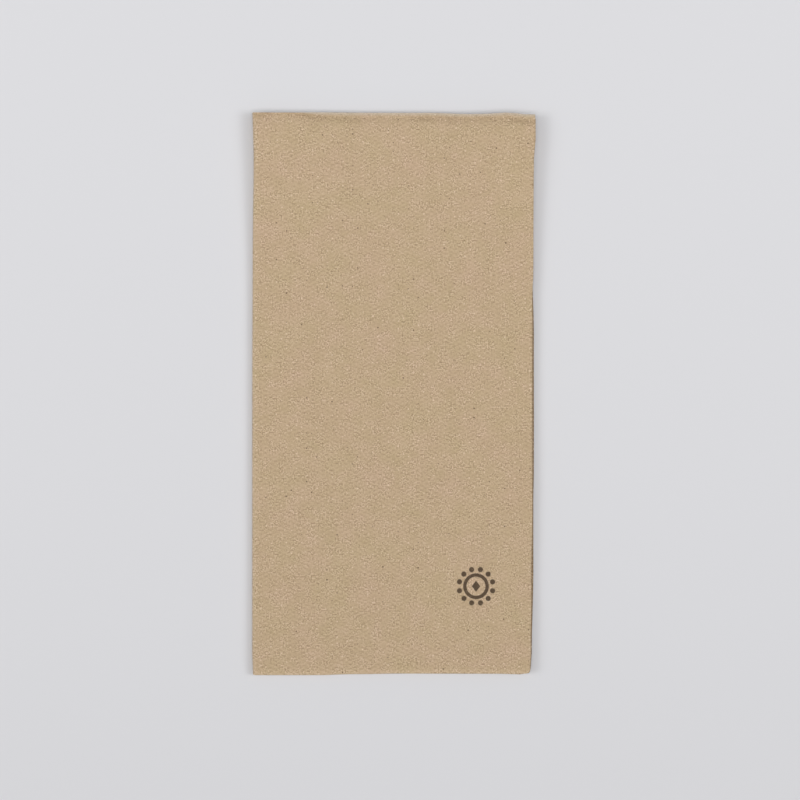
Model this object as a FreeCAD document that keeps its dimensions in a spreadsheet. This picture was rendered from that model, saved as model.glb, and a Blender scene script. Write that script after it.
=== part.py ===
import FreeCAD, Part
import os

import Sketcher
from FreeCAD import Vector

# A two-ply paper napkin, folded from one square sheet of tissue to an eighth of its area.
# Millimetres. +X points to the open side, +Y to the cut edges, +Z up from the table.
# The sheet is folded in half once, which makes a long strip of two leaves joined along -Y.
# The strip is then folded in half twice, so four pairs of leaves lie on each other:
# the second fold is the bead on the right of the upper two pairs, and the third is the spine
# on the left, where the outer pair wraps round the inner one.

DRIVING_SIZES = [
    ("sheet_side", 400.0, "side of the square sheet, laid flat"),
    ("sheet_thick", 0.24, "both plies of the embossed tissue"),
    ("leaf_gap", 0.16, "air between one leaf and the next"),
    ("cut_edge_lap", 1.6, "how far the longer leaf of a pair shows past the shorter one at +Y"),
    ("free_edge_reach", 0.6, "how far the inner pair's free edge passes the bead at +X"),
    ("free_edge_step", 1.1, "how much shorter the outer pair's free edge stops at +X"),
    ("free_edge_skew", 0.8, "how far the inner pair's free edge runs in from its +Y end to -Y"),
    ("halves_open_deg", 0.5, "angle by which the upper half springs up from the lower half"),
    ("trim_margin", 2.0, "how far the trimming cut passes the paper all round"),
]

# Lengths that follow from the driving sizes, as expressions on the sheet of sizes.
LEAF_PITCH = "(dims.sheet_thick + dims.leaf_gap)"
HALF_PAIR = "(dims.sheet_thick + dims.leaf_gap / 2)"
FOLD_RADIUS = LEAF_PITCH
SPINE_RADIUS = f"(3 * {LEAF_PITCH})"
SPINE_TURN = "((180 - dims.halves_open_deg) / 180)"
# The strip is one sheet side long: four panels, the bead, the two turns of the spine and
# what the free edges have over the panels.
PANEL = (
    f"((dims.sheet_side - pi * ({SPINE_RADIUS} + {FOLD_RADIUS}) * {SPINE_TURN}"
    f" - pi * {FOLD_RADIUS} - 2 * ({FOLD_RADIUS} + {HALF_PAIR} + dims.free_edge_reach)"
    " + dims.free_edge_step) / 4)"
)
INNER_RUN = f"({PANEL} + {FOLD_RADIUS} + {HALF_PAIR} + dims.free_edge_reach)"
OUTER_RUN = f"({INNER_RUN} - dims.free_edge_step)"
# A pair's two leaves and the half round between them are one sheet side long as well.
LONG_LEAF = f"((dims.sheet_side + dims.cut_edge_lap - pi * {LEAF_PITCH} / 2) / 2)"
FOLDED_LENGTH = f"({LONG_LEAF} + {HALF_PAIR})"
FOLDED_WIDTH = f"({SPINE_RADIUS} + {HALF_PAIR} + {INNER_RUN})"
SPINE_X = f"({FOLDED_WIDTH} / 2 - {SPINE_RADIUS} - {HALF_PAIR})"

START, END, CENTRE = 1, 2, 3
ORIGIN = (-1, START)


def make_sizes(doc):
    """The sheet of driving sizes: a name, its number and what it means on each row."""
    sizes = doc.addObject("Spreadsheet::Sheet", "dims")
    for row, (alias, value, meaning) in enumerate(DRIVING_SIZES, start=1):
        sizes.set(f"A{row}", alias)
        sizes.set(f"B{row}", str(value))
        sizes.setAlias(f"B{row}", alias)
        sizes.set(f"C{row}", meaning)
    doc.recompute()
    return sizes


def origin_plane(body, role):
    """One of the body's own three base planes."""
    return next(f for f in body.Origin.OriginFeatures if f.Role == role)


def attached_sketch(body, name, role):
    """An empty sketch of the body, lying on one of its base planes."""
    sketch = body.newObject("Sketcher::SketchObject", name)
    sketch.AttachmentSupport = (origin_plane(body, role), "")
    sketch.MapMode = "FlatFace"
    return sketch


def bind(sketch, name, expression, *constraint):
    """A dimension of the sketch that follows an expression."""
    index = sketch.addConstraint(Sketcher.Constraint(*constraint))
    sketch.renameConstraint(index, name)
    sketch.setExpression(f"Constraints.{name}", expression)


def line(sketch, begin, end):
    return sketch.addGeometry(Part.LineSegment(Vector(*begin, 0), Vector(*end, 0)))


def arc(sketch, begin, middle, end):
    return sketch.addGeometry(Part.Arc(Vector(*begin, 0), Vector(*middle, 0), Vector(*end, 0)))


def draw_fold_path(body):
    """How the middle of the two-leaf strip runs, seen from -Y: in along the bottom to the spine,
    round it, out along the top to the bead, back to the spine and out again."""
    path = attached_sketch(body, "fold_path", "XZ_Plane")
    lower_outer = line(path, (50, 0.3), (-48, 0.3))
    spine_outer = arc(path, (-48, 0.3), (-49.2, 1.5), (-48, 2.7))
    upper_outer = line(path, (-48, 2.7), (49, 3.5))
    bead = arc(path, (49, 3.5), (49.4, 3.1), (49, 2.7))
    upper_inner = line(path, (49, 2.7), (-48, 1.9))
    spine_inner = arc(path, (-48, 1.9), (-48.4, 1.5), (-48, 1.1))
    lower_inner = line(path, (-48, 1.1), (50, 1.1))

    # An arc keeps its two ends in counter-clockwise order, so those drawn clockwise
    # begin at their END.
    joints = [
        (lower_outer, END, spine_outer, END),
        (spine_outer, START, upper_outer, START),
        (upper_outer, END, bead, END),
        (bead, START, upper_inner, START),
        (upper_inner, END, spine_inner, START),
        (spine_inner, END, lower_inner, START),
    ]
    for first, first_end, second, second_end in joints:
        path.addConstraint(Sketcher.Constraint("Tangent", first, first_end, second, second_end))
    path.addConstraint(Sketcher.Constraint("Horizontal", lower_outer))
    path.addConstraint(Sketcher.Constraint("Horizontal", lower_inner))
    path.addConstraint(Sketcher.Constraint("Parallel", upper_outer, upper_inner))
    path.addConstraint(Sketcher.Constraint("Coincident", spine_outer, CENTRE, spine_inner, CENTRE))
    bind(path, "fold_radius", FOLD_RADIUS, "Radius", spine_inner, 0.4)
    bind(path, "spine_radius", SPINE_RADIUS, "Radius", spine_outer, 1.2)
    bind(path, "spine_x", SPINE_X, "DistanceX", spine_outer, CENTRE, *ORIGIN, 48.0)
    bind(path, "strip_height", HALF_PAIR, "DistanceY", *ORIGIN, lower_outer, END, 0.32)
    bind(path, "halves_open", "dims.halves_open_deg * 1deg", "Angle", upper_outer, 0.0087)
    bind(path, "panel", PANEL, "Distance", upper_outer, START, upper_outer, END, 98.0)
    bind(path, "outer_run", OUTER_RUN, "DistanceX", lower_outer, END, lower_outer, START, 98.0)
    bind(path, "inner_run", INNER_RUN, "DistanceX", lower_inner, START, lower_inner, END, 99.0)
    return path


def draw_leaf_pair(body):
    """The strip's cross-section at its outer free edge: a flat hairpin of two leaves, the lower
    one shorter, with their fold at -Y and their cut edges at +Y."""
    pair = attached_sketch(body, "leaf_pair", "YZ_Plane")
    pair.setExpression("AttachmentOffset.Base.z", f"{OUTER_RUN} - {SPINE_X}")
    short_outside = line(pair, (-100, 0), (98.5, 0))
    short_cut = line(pair, (98.5, 0), (98.5, 0.24))
    short_inside = line(pair, (98.5, 0.24), (-100, 0.24))
    fold_inside = arc(pair, (-100, 0.24), (-100.08, 0.32), (-100, 0.4))
    long_inside = line(pair, (-100, 0.4), (100.3, 0.4))
    long_cut = line(pair, (100.3, 0.4), (100.3, 0.64))
    long_outside = line(pair, (100.3, 0.64), (-100, 0.64))
    fold_outside = arc(pair, (-100, 0.64), (-100.32, 0.32), (-100, 0))

    for first, second in [
        (short_outside, short_cut),
        (short_cut, short_inside),
        (long_inside, long_cut),
        (long_cut, long_outside),
    ]:
        pair.addConstraint(Sketcher.Constraint("Coincident", first, END, second, START))
    pair.addConstraint(Sketcher.Constraint("Tangent", short_inside, END, fold_inside, END))
    pair.addConstraint(Sketcher.Constraint("Tangent", fold_inside, START, long_inside, START))
    pair.addConstraint(Sketcher.Constraint("Tangent", long_outside, END, fold_outside, START))
    pair.addConstraint(Sketcher.Constraint("Tangent", fold_outside, END, short_outside, START))
    pair.addConstraint(Sketcher.Constraint("Coincident", fold_inside, CENTRE, fold_outside, CENTRE))
    pair.addConstraint(Sketcher.Constraint("Horizontal", short_outside))
    pair.addConstraint(Sketcher.Constraint("Horizontal", long_outside))
    pair.addConstraint(Sketcher.Constraint("Vertical", short_cut))
    pair.addConstraint(Sketcher.Constraint("Vertical", long_cut))
    bind(pair, "fold_inside", "dims.leaf_gap / 2", "Radius", fold_inside, 0.08)
    bind(pair, "fold_outside", HALF_PAIR, "Radius", fold_outside, 0.32)
    bind(pair, "underside", HALF_PAIR, "DistanceY", *ORIGIN, fold_outside, CENTRE, 0.32)
    bind(pair, "fold_place", f"{FOLDED_LENGTH} / 2 - {HALF_PAIR}",
         "DistanceX", fold_outside, CENTRE, *ORIGIN, 100.0)
    bind(pair, "long_leaf", LONG_LEAF, "DistanceX", long_outside, END, long_outside, START, 200.5)
    bind(pair, "short_leaf", f"{LONG_LEAF} - dims.cut_edge_lap",
         "DistanceX", short_outside, START, short_outside, END, 198.9)
    return pair


def draw_edge_trim(body):
    """What a slightly slanting cut takes off the inner pair's free edge: nothing at +Y,
    the whole skew at -Y."""
    trim = attached_sketch(body, "edge_trim", "XY_Plane")
    slant = line(trim, (50.4, 102), (49.6, -102))
    near_end = line(trim, (49.6, -102), (52, -102))
    outside = line(trim, (52, -102), (52, 102))
    far_end = line(trim, (52, 102), (50.4, 102))
    sides = [slant, near_end, outside, far_end]
    for first, second in zip(sides, sides[1:] + sides[:1]):
        trim.addConstraint(Sketcher.Constraint("Coincident", first, END, second, START))
    trim.addConstraint(Sketcher.Constraint("Horizontal", near_end))
    trim.addConstraint(Sketcher.Constraint("Horizontal", far_end))
    trim.addConstraint(Sketcher.Constraint("Vertical", outside))
    bind(trim, "far_reach", f"{FOLDED_LENGTH} / 2 + dims.trim_margin",
         "DistanceY", *ORIGIN, outside, END, 102.0)
    bind(trim, "near_reach", f"{FOLDED_LENGTH} / 2 + dims.trim_margin",
         "DistanceY", outside, START, *ORIGIN, 102.0)
    bind(trim, "outside", f"{FOLDED_WIDTH} / 2 + dims.trim_margin",
         "DistanceX", *ORIGIN, outside, START, 52.0)
    bind(trim, "edge", f"{FOLDED_WIDTH} / 2", "DistanceX", *ORIGIN, slant, START, 50.4)
    bind(trim, "skew", "dims.free_edge_skew", "DistanceX", slant, END, slant, START, 0.8)
    return trim


def make_napkin(doc):
    """The folded sheet: the pair of leaves carried along the fold path, then trimmed."""
    body = doc.addObject("PartDesign::Body", "napkin")
    body.Label = "napkin"
    path = draw_fold_path(body)
    pair = draw_leaf_pair(body)
    doc.recompute()

    folds = body.newObject("PartDesign::AdditivePipe", "folds")
    folds.Profile = pair
    folds.Spine = path
    doc.recompute()

    trim = draw_edge_trim(body)
    slanted_edge = body.newObject("PartDesign::Pocket", "slanted_edge")
    slanted_edge.Profile = trim
    # The cut goes up from the table through the lower two pairs only.
    slanted_edge.Reversed = True
    slanted_edge.setExpression("Length", f"4 * {LEAF_PITCH}")
    doc.recompute()
    return body


def check(doc, parts):
    """Stops before anything is written if a feature failed or a shape isn't sound."""
    for thing in doc.Objects:
        if "Invalid" in thing.State or "Error" in thing.State:
            raise RuntimeError(f"{thing.Name} failed: {thing.State}")
    for part in parts:
        if part.Shape.isNull() or not part.Shape.isValid():
            raise RuntimeError(f"{part.Label} has no sound shape")


def main():
    doc = FreeCAD.newDocument("napkin_model")
    sizes = make_sizes(doc)
    parts = [make_napkin(doc)]
    doc.recompute()
    check(doc, parts)
    os.makedirs("parts", exist_ok=True)
    for part in parts:
        part.Shape.exportStep(f"parts/{part.Label}.step")
        box = part.Shape.BoundBox
        paper = sizes.sheet_side**2 * sizes.sheet_thick
        print(part.Label, "solids", len(part.Shape.Solids), "faces", len(part.Shape.Faces))
        print("size", round(box.XLength, 3), round(box.YLength, 3), round(box.ZLength, 3))
        print("low corner", round(box.XMin, 3), round(box.YMin, 3), round(box.ZMin, 3))
        print("volume over the flat sheet's", round(part.Shape.Volume / paper, 5))


main()
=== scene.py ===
# %% [markdown]
# # A folded paper napkin
#
# The object is one square sheet of unbleached two-ply tissue, folded in half three times and
# laid flat. Almost all that shows is one leaf seen from straight above, so its look depends on
# three quiet things: the small steps and gaps along its four edges, the dots pressed into the
# paper, and the fibres in its colour. Each gets a step of its own below.
#
# First the packed model is loaded as a fixed frame, and its box is kept.

# %% Load the frame
import math

import bpy
import numpy as np
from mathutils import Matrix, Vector


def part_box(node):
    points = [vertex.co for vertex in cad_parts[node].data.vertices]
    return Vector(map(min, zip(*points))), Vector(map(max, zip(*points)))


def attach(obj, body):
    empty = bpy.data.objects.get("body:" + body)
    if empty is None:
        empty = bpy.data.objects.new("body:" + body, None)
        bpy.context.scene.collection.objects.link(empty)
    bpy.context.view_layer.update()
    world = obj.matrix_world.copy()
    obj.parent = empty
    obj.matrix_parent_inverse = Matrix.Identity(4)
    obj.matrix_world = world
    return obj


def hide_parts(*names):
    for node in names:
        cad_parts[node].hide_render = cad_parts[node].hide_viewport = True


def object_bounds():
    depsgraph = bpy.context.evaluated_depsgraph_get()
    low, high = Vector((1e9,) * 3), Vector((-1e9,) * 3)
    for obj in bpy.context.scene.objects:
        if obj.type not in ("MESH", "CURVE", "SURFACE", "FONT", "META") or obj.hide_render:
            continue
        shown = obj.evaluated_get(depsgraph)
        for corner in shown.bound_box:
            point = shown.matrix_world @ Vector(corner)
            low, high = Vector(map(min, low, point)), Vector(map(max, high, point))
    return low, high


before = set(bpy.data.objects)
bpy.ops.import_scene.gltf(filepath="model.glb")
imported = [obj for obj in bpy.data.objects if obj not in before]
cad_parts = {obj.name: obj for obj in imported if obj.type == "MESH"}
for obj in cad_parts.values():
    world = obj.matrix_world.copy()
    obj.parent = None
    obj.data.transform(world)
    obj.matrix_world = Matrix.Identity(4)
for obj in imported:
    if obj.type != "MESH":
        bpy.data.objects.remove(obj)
cad_low, cad_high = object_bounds()
napkin_low, napkin_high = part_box("napkin")
print("nodes", list(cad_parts), "box", [round(v, 4) for v in (*cad_low, *cad_high)])

# %% [markdown]
# ## The sizes of the sheet
#
# A folded sheet is easiest to describe flat. The sheet is 400 mm square. One direction, called
# *along* here, is carried round the bead and the spine, and the other, called *across*, is
# folded once in the first fold. The lengths repeat those of the solid, in millimetres, and the
# panel between spine and bead is what is left of the sheet once the folds have taken their part.

# %% Driving sizes, in millimetres
MM = 0.001
SHEET = 400.0
PAPER = 0.24
AIR = 0.16
CUT_EDGE_LAP = 1.6
FREE_EDGE_REACH = 0.6
FREE_EDGE_STEP = 1.1
HALVES_OPEN = math.radians(0.5)

PITCH = PAPER + AIR
HALF_PAIR = PAPER + AIR / 2
SPINE_RADIUS = 3 * PITCH
SPINE_TURN = math.pi - HALVES_OPEN
PANEL = (
    SHEET
    - (SPINE_RADIUS + PITCH) * SPINE_TURN
    - PITCH * math.pi
    - 2 * (PITCH + HALF_PAIR + FREE_EDGE_REACH)
    + FREE_EDGE_STEP
) / 4
INNER_RUN = PANEL + PITCH + HALF_PAIR + FREE_EDGE_REACH
OUTER_RUN = INNER_RUN - FREE_EDGE_STEP
FIRST_FOLD = math.pi * PITCH / 2
LONG_LEAF = (SHEET + CUT_EDGE_LAP - FIRST_FOLD) / 2
SHORT_LEAF = LONG_LEAF - CUT_EDGE_LAP
SPINE_X = napkin_low.x / MM + SPINE_RADIUS + HALF_PAIR
FOLD_Y = napkin_low.y / MM + HALF_PAIR
RIGHT_X = napkin_high.x / MM
BACK_Y = napkin_high.y / MM
FRONT_Y = napkin_low.y / MM
print("panel", round(PANEL, 2), "short leaf", round(SHORT_LEAF, 2), "mm")

# %% [markdown]
# ## Folding as a path
#
# Seen from the first fold, the two-leaf strip runs in along the table to the spine, round it,
# out along the top to the bead, back to the spine and out again. That is a path of straight
# runs and half turns, so it is a heading that changes at a steady rate on each stretch. On a
# stretch with curvature k, heading a and length u, the place is
# start + (sin(a + k u) - sin a, cos a - cos(a + k u)) / k, and on a straight run it is
# start + u (cos a, sin a). Each stretch fills in its own part of a whole array.

# %% The fold path
STRETCHES = [
    ("outer run", OUTER_RUN, 0.0),
    ("outer spine", SPINE_RADIUS * SPINE_TURN, -SPINE_TURN),
    ("top panel", PANEL, 0.0),
    ("bead", PITCH * math.pi, -math.pi),
    ("inner panel", PANEL, 0.0),
    ("inner spine", PITCH * SPINE_TURN, SPINE_TURN),
    ("inner run", INNER_RUN, 0.0),
]
STARTS = dict(zip([name for name, _, _ in STRETCHES],
                  np.concatenate([[0.0], np.cumsum([length for _, length, _ in STRETCHES])])))
TOP_START = STARTS["top panel"]
TOP_END = STARTS["bead"]


def fold_path(along):
    """Place (x, z) and heading of the strip's middle at distances along it, in millimetres."""
    x = np.zeros_like(along)
    z = np.zeros_like(along)
    heading = np.zeros_like(along)
    start_x, start_z, angle = SPINE_X + OUTER_RUN, HALF_PAIR, math.pi
    begin = 0.0
    for _, length, turn in STRETCHES:
        k = turn / length
        here = along >= begin
        u = along[here] - begin
        heading[here] = angle + k * u
        if k:
            x[here] = start_x + (np.sin(angle + k * u) - math.sin(angle)) / k
            z[here] = start_z + (math.cos(angle) - np.cos(angle + k * u)) / k
            start_x += (math.sin(angle + turn) - math.sin(angle)) / k
            start_z += (math.cos(angle) - math.cos(angle + turn)) / k
        else:
            x[here] = start_x + u * math.cos(angle)
            z[here] = start_z + u * math.sin(angle)
            start_x += length * math.cos(angle)
            start_z += length * math.sin(angle)
        angle += turn
        begin += length
    return x, z, heading


def first_fold(across):
    """y, and the offset to the left of the path, at distances across the sheet: out along the
    short leaf, round the first fold's half turn and back along the long leaf."""
    turn = np.clip((across - SHORT_LEAF) / (PITCH / 2), 0, math.pi)
    y = FOLD_Y - PITCH / 2 * np.sin(turn)
    y += np.maximum(SHORT_LEAF - across, 0)
    y += np.maximum(across - SHORT_LEAF - FIRST_FOLD, 0)
    return y, PITCH / 2 * np.cos(turn)


ends_x, ends_z, _ = fold_path(np.array([0.0, TOP_START, TOP_END, SHEET]))
print("path passes x", ends_x.round(2), "z", ends_z.round(2))

# %% [markdown]
# ## What the paper does after folding
#
# The half rounds of bead and spine are pressed a little squarer than circles. Elsewhere soft
# tissue springs back: the cut edges fan open, most at the two far corners, the upper half lifts
# off the lower half, and the edges of the leaves wander a little, because no folding machine is
# exact. All of this is slow and smooth, so it is a bending of the space round the neat stack.
# Heights are stretched by a factor that depends only on x and y, so leaves that lie in order
# stay in order, and nothing can cut through anything.

# %% Press the folds squarer
BEAD_SQUARENESS = 5.0
SPINE_SQUARENESS = 3.6


def pressed(x, z, centre_x, centre_z, side, power):
    """Moves points beyond a fold's centre out from a circle towards a square with rounded
    corners: at an angle t by the factor (|cos t|^p + |sin t|^p)^(-1/p)."""
    out = np.maximum(side * (x - centre_x), 0)
    up = z - centre_z
    far = np.maximum(np.hypot(out, up), 1e-9)
    factor = ((out / far) ** power + (np.abs(up) / far) ** power) ** (-1 / power)
    factor = np.where(out > 0, factor, 1)
    return centre_x + (x - centre_x) * factor, centre_z + up * factor


bead_x, bead_z, bead_heading = (float(v[0]) for v in fold_path(np.array([TOP_END])))
BEAD_CENTRE = (bead_x + PITCH * math.sin(bead_heading), bead_z - PITCH * math.cos(bead_heading))
SPINE_CENTRE = (SPINE_X, HALF_PAIR + SPINE_RADIUS)
print("bead centre", [round(v, 2) for v in BEAD_CENTRE],
      "spine centre", [round(v, 2) for v in SPINE_CENTRE])

# %% Helpers for smooth changes
def ease(value, low, high):
    """0 below low, 1 above high, and the smooth cubic 3 u^2 - 2 u^3 between."""
    u = np.clip((value - low) / (high - low), 0, 1)
    return u * u * (3 - 2 * u)


def hill(value, centre, width):
    """A bell curve exp(-((value - centre) / width)^2), which is 1 at the centre."""
    return np.exp(-(((value - centre) / width) ** 2))


def waves(value, seed, longest, count=4):
    """A wandering line, within about -1 to 1: a few sines whose phases and shares the seed
    draws. The k-th has 1/k of the longest wavelength and 1/k of the height."""
    rng = np.random.default_rng(seed)
    total = np.zeros_like(value)
    for k in range(1, count + 1):
        phase, share = rng.uniform(0, 2 * math.pi), rng.uniform(0.6, 1.0)
        total += share * np.sin(2 * math.pi * value * k / longest + phase) / k
    return total / 1.6


print("half way between 0 and 1 ease gives", float(ease(0.5, 0, 1)),
      "and hill, one width off its centre,", round(float(hill(1.0, 0, 1)), 3))

# %% How high the stack stands
def loft(x, y):
    """How many times its neat height the stack has at x, y: pressed in the middle, a little
    sprung at the first fold, and fanned open towards the cut edges and their two corners. A
    shallow trough runs along the cut edges, whose rims curl up."""
    fan = ease(y, 35, BACK_Y)
    left_corner = hill(x, -52, 24) * hill(y, 100, 34)
    right_corner = hill(x, 50, 24) * hill(y, 100, 36)
    front = hill(y, FRONT_Y, 30)
    slow = waves(x, 11, 90) * waves(y, 12, 130)
    trough = hill(y, 98.2, 1.5)
    return (0.94 + 0.22 * fan + 0.75 * left_corner + 0.55 * right_corner + 0.1 * front
            + 0.05 * slow - 0.09 * trough)


def upper_share(z):
    """0 in the lower half of the stack and 1 in the upper half."""
    return ease(z, 3.6 * PITCH, 4.6 * PITCH)


print("loft at the middle", round(float(loft(np.float64(0), np.float64(0))), 2),
      "at the far left corner", round(float(loft(np.float64(-50), np.float64(100))), 2))

# %% [markdown]
# The outline is not quite a rectangle. Near the cut edges the bead covers the free edges below
# it, and at the far right corner it stands out past them by about a millimetre. Along the rest
# it stands back from them, and the gap between shows as a thin dark line. The free edges run in
# a little towards the first fold, and the near right corner is rounded.

# %% How the outline wanders
CORNER_ROUND = (1.8, 4.6)


def round_corner(x, y):
    """Rounds the near right corner: on a patch with a and b from 0 to 1 towards the corner,
    (a, b) goes to (a sqrt(1 - b^2 / 2), b sqrt(1 - a^2 / 2)), a quarter of an ellipse."""
    wide, deep = CORNER_ROUND
    corner_x = RIGHT_X - FREE_EDGE_REACH
    a = np.clip((x - corner_x + wide) / wide, 0, 1)
    b = np.clip((FRONT_Y + deep - y) / deep, 0, 1)
    return (x - wide * a * (1 - np.sqrt(1 - b * b / 2)),
            y + deep * b * (1 - np.sqrt(1 - a * a / 2)))


def wander(x, y, z):
    """Shifts in x and y of the neat stack's points, in millimetres: a chain of small steps
    along each of the four edges, which fades out towards the middle of the napkin."""
    upper = upper_share(z)
    bead_shift = (0.18 + 0.93 * ease(y, 84, 96) - 0.43 * ease(-y, -44, -34)
                  - 0.37 * ease(-y, 48, 62) - 0.3 * hill(y, -89, 5) + 0.06 * waves(y, 5, 60))
    free_edge_shift = (-0.14 - 0.5 * ease(y, 22, 42) - 0.2 * ease(-y, 26, 40)
                       - 0.55 * ease(-y, 64, 92) + 0.04 * waves(y, 6, 50))
    spine_shift = (0.14 * ease(y, 5, 45) + 0.45 * hill(y, 84, 20)
                   - 0.45 * ease(y, 91, 99) + 0.3 * ease(-y, 96, 101))
    dx = ease(x, -10, RIGHT_X) * (upper * bead_shift + (1 - upper) * free_edge_shift)
    dx += ease(-x, -10, -SPINE_X) * spine_shift
    near_shift = (-0.2 + 0.33 * ease(x, -26, -16) + 0.22 * ease(x, -12, 2)
                  - 0.2 * ease(x, 38, 46))
    far_shift = (-0.46 + 0.2 * ease(x, -42, -30) - 0.05 * ease(x, -30, -5)
                 - 0.5 * ease(x, 12, 26) - 0.35 * ease(x, 42, 47))
    dy = ease(-y, 40, 100) * near_shift + ease(y, 40, 100) * far_shift
    return dx, dy


far_right = np.array([RIGHT_X, BACK_Y, napkin_high.z / MM])
print("the far right corner shifts by", [round(float(v), 2) for v in wander(*far_right)], "mm")

# %% [markdown]
# The cut edges need one more touch. A leaf is thinnest and limpest at its cut, so the two
# leaves of a pair pinch together there, and each edge has a slow ripple of its own. On the top
# pair the shorter leaf reaches the longer one at the left corner and falls short of it along
# the rest, which is the pale strip at the far edge.

# %% The edges of single leaves
def leaf_edges(along, across, offset):
    """The offset from the pair's middle once the cut edges pinch and ripple, and the shift
    in y of each leaf's edge, in millimetres. Pinch and ripple die away with the distance
    from the cut, and the shift grows over the last 40 mm before it."""
    to_short_cut = across
    to_long_cut = SHEET - across
    pinch = 1.0 * np.exp(-((to_short_cut / 1.8) ** 2)) + 0.3 * np.exp(-((to_long_cut / 0.8) ** 2))
    ripple = 0.05 * waves(along, 21, 70) * np.exp(-np.minimum(to_short_cut, to_long_cut) / 14)
    offset = offset * (1 - pinch) + ripple
    over_top = (along - TOP_START) / PANEL
    on_top = ease(along, TOP_START - 4.5, TOP_START - 2) * ease(-along, -TOP_END - 1.2, -TOP_END)
    short_reach = 0.35 + 1.35 * on_top * (1 - ease(over_top, 0.1, 0.32))
    short_reach += 0.12 * waves(along, 23, 120) - 0.6 * on_top * ease(over_top, 0.9, 0.96)
    long_reach = 0.1 * waves(along, 24, 150) + 0.38 * on_top * hill(over_top, 0.895, 0.035)
    dy = short_reach * ease(-to_short_cut, -40, 0) + long_reach * ease(-to_long_cut, -40, 0)
    return offset, dy


def droop(along):
    """How far the lower half's top leaves hang down past the ends of the leaves below them."""
    return 0.6 * np.clip(1 - (SHEET - along) / FREE_EDGE_STEP, 0, 1) ** 2


def half_thickness(along, across):
    """Half the paper's thickness, which the knife has pressed thin along every cut edge."""
    to_cut = np.minimum(np.minimum(along, SHEET - along), np.minimum(across, SHEET - across))
    return PAPER / 2 * (1 - 0.55 * np.exp(-((to_cut / 0.7) ** 2)))


def fold_skew(along):
    """How far each stretch of the first fold stands out towards -Y, because the later folds
    weren't quite square to it."""
    return 0.15 * waves(along, 31, 230, 3)


print("paper", PAPER, "mm thick, at a cut",
      round(2 * float(half_thickness(0.0, SHEET / 2)), 3), "mm")

# %% [markdown]
# Everything so far comes together in one function: distances on the flat sheet go in, and
# points in space come out. The paper's own direction follows from it. It is the cross product
# of the two slopes, taken by stepping a hair each way, so that coarse and fine parts of the
# mesh agree on it exactly.

# %% From the flat sheet to the folded one
def folded(along, across):
    """Points of the middle of the paper, in millimetres, as an array with x, y, z last."""
    along, across = np.broadcast_arrays(np.asarray(along, float), np.asarray(across, float))
    x, z, heading = fold_path(along)
    y, offset = first_fold(across)
    offset, edge_shift = leaf_edges(along, across, offset)
    y = y + edge_shift - fold_skew(along) * ease(-y, 20, 100)
    x = x - offset * np.sin(heading)
    z = z + offset * np.cos(heading) - droop(along)
    on_bead = (along >= TOP_END) & (along <= STARTS["inner panel"])
    by_bead = pressed(x, z, *BEAD_CENTRE, 1, BEAD_SQUARENESS)
    by_spine = pressed(x, z, *SPINE_CENTRE, -1, SPINE_SQUARENESS)
    x = np.where(on_bead, by_bead[0], by_spine[0])
    z = np.where(on_bead, by_bead[1], by_spine[1])
    dx, dy = wander(x, y, z)
    x, y = round_corner(x, y)
    z = z * loft(x, y)
    return np.stack([x + dx, y + dy, z], axis=-1)


def facing(along, across, step=0.02):
    """Unit normals of the paper: slope across, crossed with slope along."""
    slope_along = folded(along + step, across) - folded(along - step, across)
    slope_across = folded(along, across + step) - folded(along, across - step)
    normal = np.cross(slope_across, slope_along)
    return normal / np.linalg.norm(normal, axis=-1, keepdims=True)


top_middle = np.array([TOP_START + PANEL / 2]), np.array([SHORT_LEAF / 2])
print("middle of the top leaf", folded(*top_middle)[0].round(2),
      "faces", facing(*top_middle)[0].round(3))

# %% [markdown]
# ## The pressed dots
#
# The whole sheet is embossed with small pits in a lattice of lozenges, 3.4 mm wide and 1.6 mm
# high. On the top leaf, which is nearly all that a view from above shows, the pits are real:
# its outer face gets a fine grid with six columns and four rows to a lozenge. The rest of the
# sheet has the same pits as bump, because a fine grid everywhere would take over a million
# triangles.

# %% Lattice of the pits
COLUMNS_PER_DOT, ROWS_PER_DOT = 6, 4
COARSE_COLUMNS, COARSE_ROWS = 29, 28
FINE_PER_COLUMN, FINE_PER_ROW = 6, 18
DOT_WIDTH = PANEL / (COARSE_COLUMNS * FINE_PER_COLUMN) * COLUMNS_PER_DOT
DOT_HEIGHT = SHORT_LEAF / (COARSE_ROWS * FINE_PER_ROW) * ROWS_PER_DOT
PIT_DEPTH = 0.08


def pits(along, across):
    """How deep the paper is pressed, in millimetres: with c the product of one cosine along
    and one across, the depth is ((1 + c) / 2) squared, and it fades towards the panel's ends."""
    c = (np.cos(2 * math.pi * (along - TOP_START) / DOT_WIDTH)
         * np.cos(2 * math.pi * across / DOT_HEIGHT))
    fade = ease(along, TOP_START, TOP_START + 1) * ease(-along, -TOP_END, 1 - TOP_END)
    fade = fade * ease(across, 0, 1) * ease(-across, -SHORT_LEAF, 1 - SHORT_LEAF)
    return PIT_DEPTH * ((1 + c) / 2) ** 2 * fade


print("lozenge", round(DOT_WIDTH, 3), "by", round(DOT_HEIGHT, 3), "mm")

# %% [markdown]
# ## The mesh
#
# The sheet is a grid of lines along and across it, close together round the folds and wide
# apart on the flat. Each crossing gives two points, one on each face of the paper. On the top
# leaf's outer face every coarse cell is divided again. The cells beside that fine block simply
# become faces with more corners, so the mesh has no cracks. Round the rim the two faces are
# joined by a wall with a groove in its middle, where the two plies part.

# %% Lines of the grid
def lines(*pieces):
    """Values along a chain of stretches, each (length, cells), without doubles."""
    values = [0.0]
    for length, cells in pieces:
        values.extend(values[-1] + length * np.arange(1, cells + 1) / cells)
    return np.array(values)


CUT_EDGE_CELLS = [(0.8, 2), (0.7, 1), (1.3, 1)]


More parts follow.
